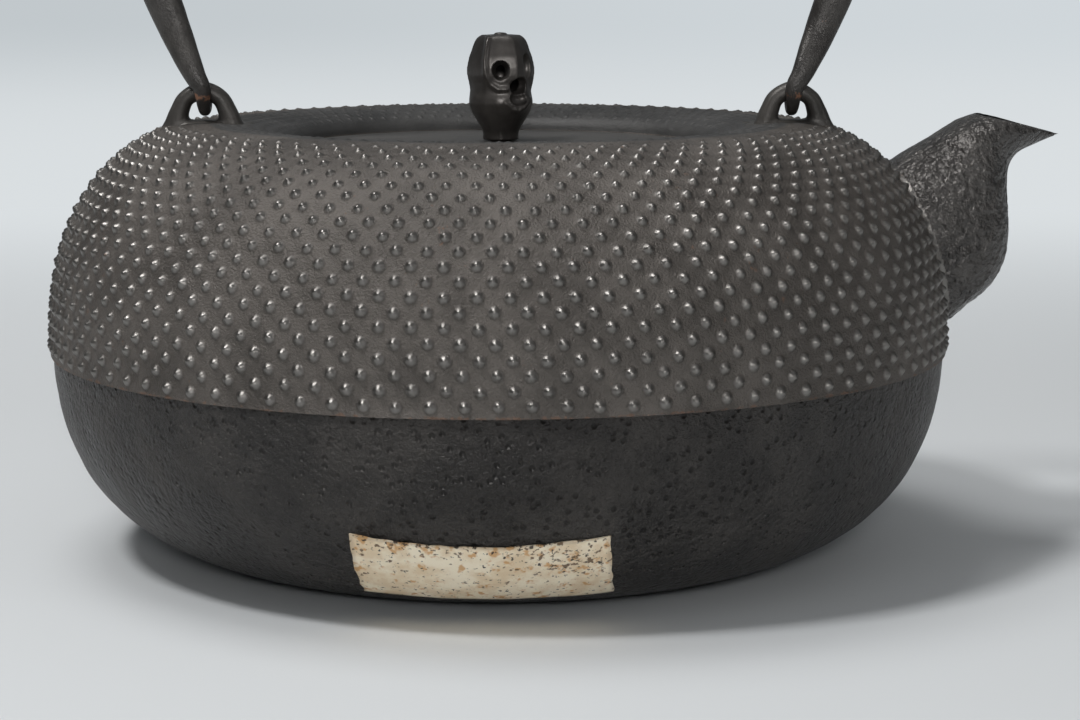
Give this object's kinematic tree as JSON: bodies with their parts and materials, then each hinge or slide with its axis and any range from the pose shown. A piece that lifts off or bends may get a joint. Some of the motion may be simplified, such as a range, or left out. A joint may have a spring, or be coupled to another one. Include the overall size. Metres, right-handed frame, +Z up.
{
  "type": "cast iron kettle",
  "caption": "Low round cast iron kettle with a studded shoulder, short beaked spout, recessed lid with a pierced bud knob, and a bail handle that swings on two ears.",
  "frame": {"origin": "centre of the flat underside of the base", "axes": "+Z up along the body's axis, +X towards the spout, -Y towards the front that carries the paper label"},
  "size_m": [0.2241, 0.2, 0.2112],
  "materials": {
    "body_iron": "warm dark brown-grey cast iron, studs rubbed glossy at their tips, pitted smooth lower half, traces of rust",
    "lid_iron": "fine-grained dark cast iron, dull",
    "knob_iron": "brown-black semi-gloss cast iron",
    "washer_iron": "dull dark iron",
    "handle_iron": "dark brown-grey iron, hammered and finely pitted, rust at the hooks",
    "label_paper": "aged cream paper with brown and black foxing specks"
  },
  "bodies": {
    "kettle": {"kettle_body": "body_iron", "paper_label": "label_paper"},
    "lid_set": {"lid": "lid_iron", "lid_knob": "knob_iron", "knob_washer": "washer_iron"},
    "bail": {"handle": "handle_iron"}
  },
  "joints": [
    {"name": "lid_lift", "type": "slide", "parent": "kettle", "child": "lid_set", "axis": [0, 0, 1], "range_m": [0, 0.06]},
    {"name": "handle_swing", "type": "hinge", "parent": "kettle", "child": "bail", "pos_m": [0, 0, 0.1016], "axis": [1, 0, 0], "range_deg": [-100, 90]}
  ]
}
